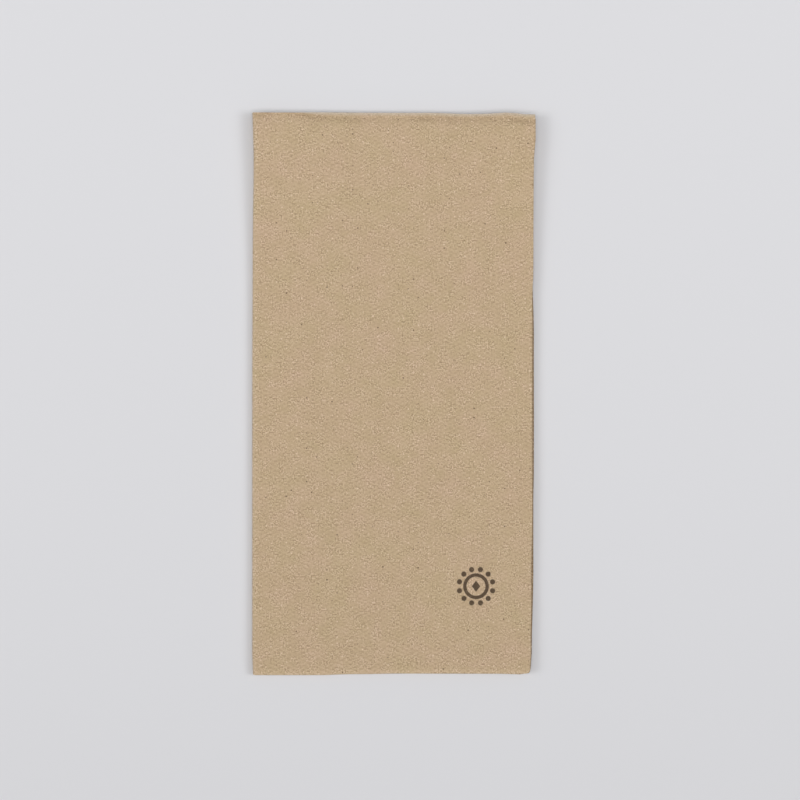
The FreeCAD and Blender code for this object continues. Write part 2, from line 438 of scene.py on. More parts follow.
def edge_lines(length, cells):
    """A stretch whose first cells are short, for the bends beside a cut edge."""
    return [*CUT_EDGE_CELLS, (length - sum(size for size, _ in CUT_EDGE_CELLS), cells)]


along_lines = lines(
    *edge_lines(OUTER_RUN, 11),
    (SPINE_RADIUS * SPINE_TURN, 12),
    (PANEL, COARSE_COLUMNS),
    (PITCH * math.pi, 8),
    (PANEL, 12),
    (PITCH * SPINE_TURN, 8),
    *reversed(edge_lines(INNER_RUN, 11)),
)
across_lines = lines(
    (SHORT_LEAF, COARSE_ROWS),
    (FIRST_FOLD, 6),
    *reversed(edge_lines(LONG_LEAF, 20)),
)
n_along, n_across = len(along_lines), len(across_lines)
top_first = int(np.argmin(np.abs(along_lines - TOP_START)))
top_last = top_first + COARSE_COLUMNS
print("grid", n_along, "by", n_across, "lines")

# %% Points of the coarse grid and the fine block
grid_along, grid_across = np.meshgrid(along_lines, across_lines, indexing="ij")
coarse_mid = folded(grid_along, grid_across)
coarse_normal = facing(grid_along, grid_across)
in_block = np.zeros(grid_along.shape, bool)
in_block[top_first : top_last + 1, : COARSE_ROWS + 1] = True
press = np.where(in_block, pits(grid_along, grid_across), 0)[..., None]
coarse_half = half_thickness(grid_along, grid_across)[..., None]
outer = coarse_mid + (coarse_half - press) * coarse_normal
inner = coarse_mid - coarse_half * coarse_normal

fine_columns = COARSE_COLUMNS * FINE_PER_COLUMN
fine_rows = COARSE_ROWS * FINE_PER_ROW
fine_along, fine_across = np.meshgrid(
    TOP_START + PANEL * np.arange(fine_columns + 1) / fine_columns,
    SHORT_LEAF * np.arange(fine_rows + 1) / fine_rows,
    indexing="ij",
)
fine_out = half_thickness(fine_along, fine_across) - pits(fine_along, fine_across)
fine = folded(fine_along, fine_across) + fine_out[..., None] * facing(fine_along, fine_across)

outer_id = np.arange(n_along * n_across).reshape(n_along, n_across)
inner_id = outer_id + outer_id.size
is_new = np.ones(fine_along.shape, bool)
is_new[::FINE_PER_COLUMN, ::FINE_PER_ROW] = False
fine_id = np.zeros(fine_along.shape, int)
fine_id[~is_new] = outer_id[in_block]
fine_id[is_new] = 2 * outer_id.size + np.arange(is_new.sum())
print("coarse points", 2 * outer_id.size, "fine points", int(is_new.sum()))

# %% [markdown]
# Faces are listed so that they face outwards. On the outer face of the paper a cell goes first
# across and then along, and on the inner face the other way round. The rim is walked once
# round, and each step of it gives two wall faces, from the outer rim to the groove and from
# the groove to the inner rim.

# %% Faces of the paper
def cells(ids):
    """One four-cornered face per cell of a grid of point numbers, facing the outer side."""
    return np.stack([ids[:-1, :-1], ids[:-1, 1:], ids[1:, 1:], ids[1:, :-1]], axis=-1)


cell_in_block = np.zeros((n_along - 1, n_across - 1), bool)
cell_in_block[top_first:top_last, :COARSE_ROWS] = True
beside_block = np.zeros_like(cell_in_block)
beside_block[top_first - 1, :COARSE_ROWS] = True
beside_block[top_last, :COARSE_ROWS] = True
beside_block[top_first:top_last, COARSE_ROWS] = True

outer_quads = cells(outer_id)[~cell_in_block & ~beside_block]
inner_quads = cells(inner_id)[..., ::-1].reshape(-1, 4)
fine_quads = cells(fine_id).reshape(-1, 4)


def many_cornered_cells():
    """The cells that share a side with the fine block, with that side's extra points."""
    found = []
    for j in range(COARSE_ROWS):
        steps = slice(j * FINE_PER_ROW, (j + 1) * FINE_PER_ROW + 1)
        left, right = fine_id[0, steps].tolist(), fine_id[-1, steps].tolist()
        i = top_first - 1
        found.append([outer_id[i, j], outer_id[i, j + 1], *left[::-1]])
        i = top_last + 1
        found.append([*right, outer_id[i, j + 1], outer_id[i, j]])
    for k in range(COARSE_COLUMNS):
        steps = slice(k * FINE_PER_COLUMN, (k + 1) * FINE_PER_COLUMN + 1)
        side = fine_id[steps, -1].tolist()
        i, j = top_first + k, COARSE_ROWS + 1
        found.append([side[0], outer_id[i, j], outer_id[i + 1, j], *side[:0:-1]])
    return [[int(v) for v in face] for face in found]


edge_cells = many_cornered_cells()
print("faces: outer", len(outer_quads), "inner", len(inner_quads), "fine", len(fine_quads),
      "beside the block", len(edge_cells))

# %% The rim, with its groove
PLY_GAP_DEPTH = 0.1


def rim_steps():
    """Grid places round the rim, in the direction in which the outer face lies beside it."""
    last_i, last_j = n_along - 1, n_across - 1
    steps = [(0, j) for j in range(last_j)]
    steps += [(i, last_j) for i in range(last_i)]
    steps += [(last_i, j) for j in range(last_j, 0, -1)]
    steps += [(i, 0) for i in range(last_i, 0, -1)]
    return np.array(steps)


rim = rim_steps()
rim_along = along_lines[rim[:, 0]]
rim_across = across_lines[rim[:, 1]]
groove_along = np.clip(rim_along, PLY_GAP_DEPTH, SHEET - PLY_GAP_DEPTH)
groove_across = np.clip(rim_across, PLY_GAP_DEPTH, SHEET - PLY_GAP_DEPTH)
groove = folded(groove_along, groove_across)
groove_id = fine_id.max() + 1 + np.arange(len(rim))
rim_outer = outer_id[rim[:, 0], rim[:, 1]]
rim_inner = inner_id[rim[:, 0], rim[:, 1]]


def rim_walls():
    """Two faces per step: from the outer rim to the groove, and from there to the inner rim."""
    found = []
    for k in range(len(rim)):
        n = (k + 1) % len(rim)
        top_side = [int(rim_outer[n]), int(rim_outer[k])]
        beside_fine = rim[k][1] == 0 and rim[n][1] == 0 and top_first < rim[k][0] <= top_last
        if beside_fine:
            first = (rim[n][0] - top_first) * FINE_PER_COLUMN
            top_side = fine_id[first : first + FINE_PER_COLUMN + 1, 0].tolist()
        found.append([*top_side, int(groove_id[k]), int(groove_id[n])])
        found.append([int(groove_id[n]), int(groove_id[k]), int(rim_inner[k]), int(rim_inner[n])])
    return found


walls = rim_walls()
print("rim steps", len(rim), "walls", len(walls))

# %% Put the napkin together
points = np.concatenate([
    outer.reshape(-1, 3),
    inner.reshape(-1, 3),
    fine[is_new],
    groove,
])
sheet_place = np.concatenate([
    np.tile(np.stack([grid_along, grid_across], axis=-1).reshape(-1, 2), (2, 1)),
    np.stack([fine_along[is_new], fine_across[is_new]], axis=-1),
    np.stack([rim_along, rim_across], axis=-1),
])
faces = [*fine_quads.tolist(), *outer_quads.tolist(), *edge_cells, *inner_quads.tolist(), *walls]
FINE, OUTER, INNER, WALL = range(4)
face_kind = np.repeat(
    [FINE, OUTER, INNER, WALL],
    [len(fine_quads), len(outer_quads) + len(edge_cells), len(inner_quads), len(walls)],
)

mesh = bpy.data.meshes.new("folded_napkin")
mesh.from_pydata(points * MM, [], faces)
napkin = bpy.data.objects.new("folded_napkin", mesh)
bpy.context.collection.objects.link(napkin)
mesh.shade_smooth()
mesh.set_sharp_from_angle(angle=math.radians(55))
triangles = sum(len(face) - 2 for face in faces)
print("points", len(points), "triangles", triangles)

# %% [markdown]
# ## Two maps of the surface
#
# The pattern in the paper belongs to the flat sheet, so the first map holds each point's place
# on it, as a share of its side. Dots, fibres and print all read that map, and they run round
# the folds as they do on the real thing. The second map lays the faces out side by side for
# baking, with the most room for the leaf on top and the next most for the one underneath.

# %% Place on the sheet, and room for baking
corner_point = np.empty(len(mesh.loops), np.int32)
mesh.loops.foreach_get("vertex_index", corner_point)
corners_per_face = np.array([len(face) for face in faces])
corner_kind = np.repeat(face_kind, corners_per_face)
corner_place = sheet_place[corner_point] / SHEET

sheet_map = mesh.uv_layers.new(name="sheet")
sheet_map.uv.foreach_set("vector", corner_place.astype(np.float32).ravel())


def laid_out(place, low, high, into_low, into_high):
    """Places between two corners of the sheet, moved to a box of the baking map."""
    share = (place - low) / (np.array(high) - low)
    return np.array(into_low) + share * (np.array(into_high) - into_low)


top_low = np.array([TOP_START, 0]) / SHEET
top_high = np.array([TOP_END, SHORT_LEAF]) / SHEET
under_high = np.array([OUTER_RUN, SHORT_LEAF]) / SHEET
HAIR = 0.01
point_under = (sheet_place <= under_high * SHEET + HAIR).all(axis=1)
first_corner = np.cumsum(corners_per_face) - corners_per_face
face_under = np.logical_and.reduceat(point_under[corner_point], first_corner)
is_under = (corner_kind == OUTER) & np.repeat(face_under, corners_per_face)
bake_place = laid_out(corner_place, (0, 0), (1, 1), (0.78, 0.02), (0.99, 0.32))
for chosen, place in [
    (corner_kind == FINE, laid_out(corner_place, top_low, top_high, (0.01, 0.01), (0.45, 0.9))),
    (is_under, laid_out(corner_place, (0, 0), under_high, (0.47, 0.01), (0.76, 0.6))),
    (corner_kind == INNER, laid_out(corner_place, (0, 0), (1, 1), (0.78, 0.36), (0.99, 0.66))),
    (corner_kind == WALL, laid_out(corner_place, (0, 0), (1, 1), (0.5, 0.7), (0.75, 0.95))),
]:
    bake_place[chosen] = place[chosen]
bake_map = mesh.uv_layers.new(name="OFBake")
bake_map.uv.foreach_set("vector", bake_place.astype(np.float32).ravel())
mesh.uv_layers.active = sheet_map

relief = mesh.attributes.new("relief", "FLOAT", "FACE")
relief.data.foreach_set("value", (face_kind == FINE).astype(np.float32))
outside = mesh.attributes.new("outside", "FLOAT", "FACE")
outside.data.foreach_set("value", (face_kind <= OUTER).astype(np.float32))
print("maps", [layer.name for layer in mesh.uv_layers])

# %% [markdown]
# ## Shader helpers
#
# Procedural paper takes many small sums, so a few helpers keep the node code short. One class
# wraps a node tree, and each of its methods adds a node or two and gives back the result. One
# function starts a node group with named inputs and outputs. A group gives out only colours,
# masks and heights. The shader itself stays in the material.

# %% Node helpers
class Nodes:
    """A node tree with short ways to add nodes to it."""

    def __init__(self, tree):
        self.tree = tree

    def node(self, kind, **settings):
        made = self.tree.nodes.new(kind)
        for name, value in settings.items():
            setattr(made, name, value)
        return made

    def join(self, value, socket):
        """Links a socket to a socket, or writes a plain value into it."""
        if isinstance(value, bpy.types.NodeSocket):
            self.tree.links.new(value, socket)
        else:
            socket.default_value = value

    def math(self, operation, *values):
        made = self.node("ShaderNodeMath", operation=operation)
        for value, socket in zip(values, made.inputs):
            self.join(value, socket)
        return made.outputs[0]

    def distance(self, x, y):
        """sqrt(x^2 + y^2)."""
        squares = self.math("ADD", self.math("MULTIPLY", x, x), self.math("MULTIPLY", y, y))
        return self.math("SQRT", squares)

    def noise(self, vector, scale, detail=2.0, rough=0.5, distortion=0.0):
        made = self.node("ShaderNodeTexNoise")
        self.join(vector, made.inputs["Vector"])
        for name, value in (("Scale", scale), ("Detail", detail), ("Roughness", rough),
                            ("Distortion", distortion)):
            self.join(value, made.inputs[name])
        return made.outputs["Fac"]

    def spread(self, value, low, high, to_low=0.0, to_high=1.0, smooth=True):
        """A map range: from low..high to to_low..to_high, held at both ends."""
        made = self.node("ShaderNodeMapRange")
        made.interpolation_type = "SMOOTHSTEP" if smooth else "LINEAR"
        for value_in, name in ((value, "Value"), (low, "From Min"), (high, "From Max"),
                               (to_low, "To Min"), (to_high, "To Max")):
            self.join(value_in, made.inputs[name])
        return made.outputs["Result"]

    def vector_math(self, operation, vector, *second):
        made = self.node("ShaderNodeVectorMath", operation=operation)
        self.join(vector, made.inputs[0])
        made.inputs[1].default_value = second
        return made.outputs[0]

    def scaled(self, vector, x, y, z=1.0):
        return self.vector_math("MULTIPLY", vector, x, y, z)

    def shifted(self, vector, x, y):
        """The vector as measured from the point (x, y)."""
        return self.vector_math("SUBTRACT", vector, x, y, 0.0)

    def parts(self, vector):
        """The x and y of a vector."""
        made = self.node("ShaderNodeSeparateXYZ")
        self.join(vector, made.inputs[0])
        return made.outputs["X"], made.outputs["Y"]

    def seen(self):
        """1 on the way to the camera, also by reflection or through glass, and 0 for light
        that falls on things."""
        path = self.node("ShaderNodeLightPath").outputs
        shiny = self.math("MAXIMUM", path["Is Glossy Ray"], path["Is Transmission Ray"])
        return self.math("MAXIMUM", path["Is Camera Ray"], shiny)

    def mix(self, share, first, second, blend="MIX"):
        made = self.node("ShaderNodeMix", data_type="RGBA", blend_type=blend)
        self.join(share, made.inputs["Factor"])
        self.join(first, made.inputs[6])
        self.join(second, made.inputs[7])
        return made.outputs[2]

    def mix_shaders(self, share, first, second):
        made = self.node("ShaderNodeMixShader")
        for value, socket in zip((share, first, second), made.inputs):
            self.join(value, socket)
        return made.outputs[0]


def start_group(name, inputs, outputs):
    """A new shader node group: its nodes, its input sockets and its output sockets."""
    tree = bpy.data.node_groups.new(name, "ShaderNodeTree")
    for socket_name, kind, value in inputs:
        socket = tree.interface.new_socket(socket_name, in_out="INPUT", socket_type=kind)
        if value is not None:
            socket.default_value = value
    for socket_name, kind in outputs:
        tree.interface.new_socket(socket_name, in_out="OUTPUT", socket_type=kind)
    nodes = Nodes(tree)
    return nodes, nodes.node("NodeGroupInput").outputs, nodes.node("NodeGroupOutput").inputs


print("node helpers", [name for name in vars(Nodes) if name[0] != "_"])

# %% [markdown]
# ## Dots, fibres and print as groups
#
# The dots repeat the formula of the real pits, so that the bump carries on where the fine grid
# ends. The fibres are noise at several scales: a soft cloudiness where the pulp lies thicker, a
# fine grain, a still finer fuzz that is strong in some patches and weak in others, and short
# strands, which are noise stretched in two directions. A slow drift of hue makes the paper now
# rosy, now olive. For the specks a Voronoi pattern draws a number for each of its cells. The
# highest few get a dark fleck of bark, the lowest a pale mote, and the rest stay empty.

# %% Group: embossed dots
def make_dots_group():
    nodes, given, out = start_group(
        "embossed dots",
        [("Place", "NodeSocketVector", None), ("Width", "NodeSocketFloat", DOT_WIDTH),
         ("Height", "NodeSocketFloat", DOT_HEIGHT)],
        [("Pit", "NodeSocketFloat")],
    )
    cosines = []
    for distance, period in zip(nodes.parts(given["Place"]), ("Width", "Height")):
        turn = nodes.math("DIVIDE", nodes.math("MULTIPLY", distance, 2 * math.pi), given[period])
        cosines.append(nodes.math("COSINE", turn))
    half = nodes.math("MULTIPLY_ADD", nodes.math("MULTIPLY", *cosines), 0.5, 0.5)
    nodes.join(nodes.math("POWER", half, 2.0), out["Pit"])
    return nodes.tree


dots_group = make_dots_group()
print("group", dots_group.name)

# %% Group: paper fibres
def make_fibres_group():
    nodes, given, out = start_group(
        "paper fibres",
        [("Place", "NodeSocketVector", None), ("Size", "NodeSocketFloat", 1.0)],
        [(name, "NodeSocketFloat")
         for name in ("Cloud", "Grain", "Fuzz", "Hue", "Strands", "Flecks", "Motes")],
    )
    shrink = nodes.node("ShaderNodeVectorMath", operation="SCALE")
    nodes.join(given["Place"], shrink.inputs[0])
    nodes.join(nodes.math("DIVIDE", 1.0, given["Size"]), shrink.inputs["Scale"])
    place = shrink.outputs[0]
    for name, scale, detail in (("Cloud", 0.16, 4), ("Grain", 1.1, 3), ("Hue", 0.08, 3)):
        noise = nodes.noise(place, scale, detail=detail, rough=0.6)
        nodes.join(nodes.spread(noise, 0.25, 0.75, smooth=False), out[name])
    fuzz = nodes.spread(nodes.noise(place, 2.0, detail=0), 0.3, 0.7, smooth=False)
    patch = nodes.spread(nodes.noise(place, 0.3), 0.35, 0.65, 0.35, 1.65)
    centred = nodes.math("SUBTRACT", fuzz, 0.5)
    nodes.join(nodes.math("MULTIPLY_ADD", centred, patch, 0.5), out["Fuzz"])
    one = nodes.noise(nodes.scaled(place, 0.35, 2.6), 1.0, detail=2, rough=0.5, distortion=1.4)
    two = nodes.noise(nodes.scaled(place, 2.4, 0.4), 1.0, detail=2, rough=0.5, distortion=1.8)
    strands = nodes.math("MAXIMUM", nodes.spread(one, 0.6, 0.76), nodes.spread(two, 0.62, 0.78))
    nodes.join(strands, out["Strands"])
    specks = nodes.node("ShaderNodeTexVoronoi", feature="F1", voronoi_dimensions="2D")
    nodes.join(nodes.scaled(place, 0.55, 0.55), specks.inputs["Vector"])
    specks.inputs["Scale"].default_value = 1.0
    chance = nodes.node("ShaderNodeSeparateColor")
    nodes.join(specks.outputs["Color"], chance.inputs[0])
    for name, low, high, widest in (("Flecks", 0.93, 1.0, 0.17), ("Motes", 0.4, 0.0, 0.16)):
        share = nodes.spread(chance.outputs[0], low, high, smooth=False)
        size = nodes.math("MULTIPLY", nodes.math("POWER", share, 2.0), widest)
        nodes.join(nodes.math("LESS_THAN", specks.outputs["Distance"], size), out[name])
    return nodes.tree


fibres_group = make_fibres_group()
print("group", fibres_group.name)

# %% [markdown]
# Near one corner the napkin has a small dark brown print: a plain rosette, which is a ring of
# beads round a ring, with a lozenge in it. In polar form the beads are one bead, repeated by
# folding the angle. Lengths in the rosette are shares of its radius.

# %% Group: printed rosette
ROSETTE_X, ROSETTE_Y = 30.0, -69.0
ROSETTE_RADIUS = 7.2
ROSETTE_BEADS = 12
OUTER_RING = 0.86
INNER_RING = 0.56


def make_rosette_group():
    nodes, given, out = start_group(
        "printed rosette",
        [("Place", "NodeSocketVector", None), ("Radius", "NodeSocketFloat", ROSETTE_RADIUS)],
        [("Ink", "NodeSocketFloat")],
    )
    x, y = (nodes.math("DIVIDE", part, given["Radius"]) for part in nodes.parts(given["Place"]))
    radius = nodes.distance(x, y)
    step = 2 * math.pi / ROSETTE_BEADS
    angle = nodes.math("FLOORED_MODULO", nodes.math("ARCTAN2", y, x), step)
    angle = nodes.math("SUBTRACT", angle, step / 2)
    bead_x = nodes.math("MULTIPLY", radius, nodes.math("COSINE", angle))
    bead_y = nodes.math("MULTIPLY", radius, nodes.math("SINE", angle))
    bead = nodes.distance(nodes.math("SUBTRACT", bead_x, OUTER_RING), bead_y)
    ring = nodes.math("ABSOLUTE", nodes.math("SUBTRACT", radius, INNER_RING))
    lozenge = nodes.math("MULTIPLY", nodes.math("ABSOLUTE", x), 1.3)
    lozenge = nodes.math("ADD", lozenge, nodes.math("ABSOLUTE", y))
    ink = 0.0
    for shape, clear, inked in ((bead, 0.15, 0.11), (ring, 0.1, 0.07), (lozenge, 0.3, 0.26)):
        ink = nodes.math("MAXIMUM", ink, nodes.spread(shape, clear, inked))
    nodes.join(ink, out["Ink"])
    return nodes.tree


rosette_group = make_rosette_group()
print("group", rosette_group.name)

# %% [markdown]
# Five narrow bands follow the edges and folds of the sheet. The long leaf's cut is thin, and a
# pale tint painted along it stands for the light of the table showing through. The short leaf
# has an uneven crimped line about a millimetre inside its cut, painted darker, partly for the
# crimp and partly as painted shade where the leaf's edge dips. The free edges lie in the deep
# narrow gap beside the bead, and painted shade darkens them there. At the first fold and at the
# spine the paper is creased and painted paler, partly for the crease and partly as a painted
# highlight on the rounded fold. Each band is a bell curve exp(-((d - middle) / width)^2) of a
# distance d in millimetres.

# %% Group: bands along the edges
def make_edges_group():
    nodes, given, out = start_group(
        "bands along the edges",
        [("Place", "NodeSocketVector", None), ("Side", "NodeSocketFloat", SHEET)],
        [(name, "NodeSocketFloat") for name in ("ShowThrough", "CrimpAndShade", "GapShade", "CreaseAndHighlight", "Spine")],
    )
    along, across = nodes.parts(given["Place"])
    to_long_cut = nodes.math("SUBTRACT", given["Side"], across)
    to_free_edge = nodes.math("MINIMUM", along, nodes.math("SUBTRACT", given["Side"], along))
    uneven = nodes.spread(nodes.noise(given["Place"], 0.07, detail=1), 0.35, 0.65, 0.2, 1.8)
    for name, distance, middle, width, strength in (
        # painted light: a pale tint for the table showing through the thin long cut
        ("ShowThrough", to_long_cut, 0.0, 0.8, 1.0),
        # partly the crimp, partly painted shade where the short leaf's edge dips
        ("CrimpAndShade", across, 0.95, 1.0, uneven),
        # painted shade of the narrow gap beside the bead
        ("GapShade", to_free_edge, 0.0, 0.8, 1.0),
        # paler crease, partly a painted highlight on the rounded first fold
        ("CreaseAndHighlight", across, SHORT_LEAF - 0.4, 0.9, 1.0),
        # paler crease, partly a painted highlight on the rounded spine
        ("Spine", along, TOP_START - 1.5, 1.2, 1.0),
    ):
        off = nodes.math("DIVIDE", nodes.math("SUBTRACT", distance, middle), width)
        square = nodes.math("MULTIPLY", off, off)
        bell = nodes.math("EXPONENT", nodes.math("MULTIPLY", square, -1.0))
        nodes.join(nodes.math("MULTIPLY", bell, strength), out[name])
    return nodes.tree


edges_group = make_edges_group()
print("group", edges_group.name)

# %% [markdown]
# ## The paper
#
# Tissue is matt and slightly fuzzy, so the shader is rough with a trace of sheen. Its colour
# is a warm grey brown, lighter along its strands and darker in the pits, where the darkening is
# partly the pressed paper and partly painted shade. All patterns add up to one tone, which a
# ramp turns into a colour, and two faint tints, the specks, the painted show-through tint and
# the ink go over it. The bump takes heights in millimetres, so its distance is one millimetre.

# %% Material helpers
def place_on_sheet(nodes):
    """The place on the flat sheet in millimetres."""
    read = nodes.node("ShaderNodeUVMap", uv_map="sheet")
    return nodes.scaled(read.outputs["UV"], SHEET, SHEET, 0.0)


def use_group(nodes, group, **values):
    """Places a group with its own values, and gives its outputs."""
    made = nodes.node("ShaderNodeGroup", node_tree=group)
    for name, value in values.items():
        nodes.join(value, made.inputs[name])
    return made.outputs


def new_material(name):
    """A new material, its nodes and its shader."""
    material = bpy.data.materials.new(name)
    material.use_nodes = True
    nodes = Nodes(material.node_tree)
    shader = material.node_tree.nodes["Principled BSDF"]
    return material, nodes, shader


def linear(red, green, blue):
    """A screen colour, each from 0 to 255, as the linear colour that a shader takes."""
    values = np.array([red, green, blue]) / 255
    values = np.where(values <= 0.04045, values / 12.92, ((values + 0.055) / 1.055) ** 2.4)
    return (*values.tolist(), 1.0)


print("middle grey, 128 on the screen, is", round(linear(128, 128, 128)[0], 3), "as linear colour")

# %% Colours and tone of the tissue
PAPER_COLOUR = linear(192, 168, 137)
PALE_COLOUR = linear(231, 211, 185)
DEEP_COLOUR = linear(128, 105, 76)
FLECK_COLOUR = linear(84, 64, 46)
# Painted light: the pale table seen through the thin long cut.
SHOW_THROUGH_COLOUR = linear(196, 189, 179)
ROSY_TINT = (1.02, 0.992, 1.043, 1.0)
OLIVE_TINT = (0.98, 1.008, 0.957, 1.0)
INK_COLOUR = linear(74, 58, 44)
PLAIN_TONE = 0.252


def add_up(nodes, total, *terms):
    """A start value, plus value times weight for each pair."""
    for value, weight in terms:
        total = nodes.math("MULTIPLY_ADD", value, weight, total)
    return total


def toned(nodes, tone):
    """The paper's colour for a tone from 0, deep, through 0.5 to 1, pale."""
    ramp = nodes.node("ShaderNodeValToRGB")
    stops = ramp.color_ramp.elements
    stops[0].color = DEEP_COLOUR
    stops[1].color = PALE_COLOUR
    stops.new(0.5).color = PAPER_COLOUR
    nodes.join(tone, ramp.inputs["Fac"])
    return ramp.outputs["Color"]


def tissue_colour(nodes, fibres, edges, pit):
    """The tone from all patterns, each with its weight, as a colour, then the tints over it."""
    tone = add_up(nodes, PLAIN_TONE, (fibres["Cloud"], 0.08), (fibres["Grain"], 0.145),
                  # The pit term darkens the pits, partly for the pressed paper and partly as
                  # painted shade.
                  (fibres["Fuzz"], 0.267), (fibres["Strands"], 0.1), (pit, -0.11),
                  # The crimp band is partly the crimp and partly painted shade where the short
                  # leaf's edge dips.
                  # The first-fold band is paler partly for the crease and partly as a painted
                  # highlight.
                  # The free-edge band is painted shade for the narrow gap beside the bead.
                  (edges["CrimpAndShade"], -0.07), (edges["GapShade"], -0.42), (edges["CreaseAndHighlight"], 0.07),
                  # The spine band is paler partly for the crease and partly as a painted
                  # highlight.
                  (edges["Spine"], 0.12))
    tint = nodes.mix(fibres["Hue"], OLIVE_TINT, ROSY_TINT)
    colour = nodes.mix(1.0, toned(nodes, tone), tint, blend="MULTIPLY")
    for mask, strength, over in ((fibres["Motes"], 0.6, PALE_COLOUR),
                                 (fibres["Flecks"], 0.75, FLECK_COLOUR),
                                 # This mix paints the table's light seen through the thin long
                                 # cut.
                                 (edges["ShowThrough"], 0.5, SHOW_THROUGH_COLOUR)):
        colour = nodes.mix(nodes.math("MULTIPLY", mask, strength), colour, over)
    return colour


print("paper", [round(v, 3) for v in PAPER_COLOUR], "ink", [round(v, 3) for v in INK_COLOUR])

# %% Ink and bump of the tissue
ROSETTE_ALONG = TOP_START + ROSETTE_X - SPINE_X
ROSETTE_ACROSS = BACK_Y - CUT_EDGE_LAP - ROSETTE_Y
SHARE_IN_MESH = 0.85


def printed_ink(nodes, place, grain):
    """The rosette on the sheet's outer face, with less ink where the grain is low."""
    from_centre = nodes.shifted(place, ROSETTE_ALONG, ROSETTE_ACROSS)
    ink = use_group(nodes, rosette_group, Place=from_centre)["Ink"]
    on_outside = nodes.node("ShaderNodeAttribute", attribute_name="outside").outputs["Fac"]
    ink = nodes.math("MULTIPLY", ink, on_outside)
    return nodes.math("MULTIPLY", ink, nodes.spread(grain, 0.1, 0.5, 0.8, 0.95))


def tissue_height(nodes, fibres, pit):
    """Heights in millimetres: the pits, nearly left out where the mesh has them, and fibres."""
    in_mesh = nodes.node("ShaderNodeAttribute", attribute_name="relief").outputs["Fac"]
    left_to_bump = nodes.math("MULTIPLY_ADD", in_mesh, -SHARE_IN_MESH, 1.0)
    height = nodes.math("MULTIPLY", nodes.math("MULTIPLY", pit, -PIT_DEPTH), left_to_bump)
    return add_up(nodes, height, (fibres["Grain"], 0.035), (fibres["Fuzz"], 0.012),
                  (fibres["Strands"], 0.015))


def add_bump(nodes, height, shader):
    """Tilts the shader's normal along the slopes of a height in millimetres."""
    bump = nodes.node("ShaderNodeBump")
    bump.inputs["Strength"].default_value = 1.0
    bump.inputs["Distance"].default_value = MM
    nodes.join(height, bump.inputs["Height"])
    nodes.join(bump.outputs["Normal"], shader.inputs["Normal"])


print("rosette on the flat sheet at", round(ROSETTE_ALONG, 1), round(ROSETTE_ACROSS, 1), "mm")

# %% Tissue
def make_tissue():
    material, nodes, shader = new_material("natural tissue")
    place = place_on_sheet(nodes)
    fibres = use_group(nodes, fibres_group, Place=place)
    edges = use_group(nodes, edges_group, Place=place)
    pit = use_group(nodes, dots_group, Place=nodes.shifted(place, TOP_START, 0))["Pit"]
    colour = tissue_colour(nodes, fibres, edges, pit)
    colour = nodes.mix(printed_ink(nodes, place, fibres["Grain"]), colour, INK_COLOUR)
    nodes.join(colour, shader.inputs["Base Color"])
    nodes.join(nodes.spread(fibres["Grain"], 0, 1, 0.86, 0.98), shader.inputs["Roughness"])
    shader.inputs["Specular IOR Level"].default_value = 0.25
    shader.inputs["Sheen Weight"].default_value = 0.08
    shader.inputs["Sheen Roughness"].default_value = 0.6
    add_bump(nodes, tissue_height(nodes, fibres, pit), shader)
    return material


tissue = make_tissue()
print("material", tissue.name)

# %% [markdown]
# A cut edge shows torn fibres end on, so it is paler and rougher than the face, and its bump is
# a finer and deeper grain.

# %% Cut edge
def make_cut_edge():
    material, nodes, shader = new_material("tissue cut edge")
    place = place_on_sheet(nodes)
    fibres = use_group(nodes, fibres_group, Place=place, Size=0.5)
    tone = add_up(nodes, 0.3, (fibres["Grain"], 0.4), (fibres["Fuzz"], 0.2))
    nodes.join(toned(nodes, tone), shader.inputs["Base Color"])
    nodes.join(nodes.spread(fibres["Grain"], 0, 1, 0.9, 1.0), shader.inputs["Roughness"])
    shader.inputs["Specular IOR Level"].default_value = 0.2
    add_bump(nodes, nodes.math("MULTIPLY", fibres["Grain"], 0.06), shader)
    return material


cut_edge = make_cut_edge()
mesh.materials.append(tissue)
mesh.materials.append(cut_edge)
mesh.polygons.foreach_set("material_index", (face_kind == WALL).astype(np.int32))
mesh.update()
print("material", cut_edge.name)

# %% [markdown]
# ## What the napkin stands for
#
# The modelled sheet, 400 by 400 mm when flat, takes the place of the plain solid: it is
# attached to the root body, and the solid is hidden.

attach(napkin, "root")
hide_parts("napkin")
print("declared", napkin.name)

# %% [markdown]
# ## Floor, light and camera
#
# The napkin lies on a pale grey table under a copy stand. A large soft box hangs overhead and
# gives about a third of the light, two smaller ones stand left and right with nearly a quarter
# each, and the rest comes from all round. The shadows in the photograph, short at the long
# sides and nearly none at the near end, fit these shares. All three boxes are aimed past the
# cut edges, where the picture is a little brighter. The camera looks straight down from 0.75 m,
# so the sides hardly show. Far off the table fades into a plain backdrop of the same colour,
# which low views need, and which only the camera and reflections see.

# %% Floor
FLOOR_COLOUR = linear(220, 220, 223)
FLOOR_REACH = 2.0
FADE_START, FADE_END = 0.3, 1.1


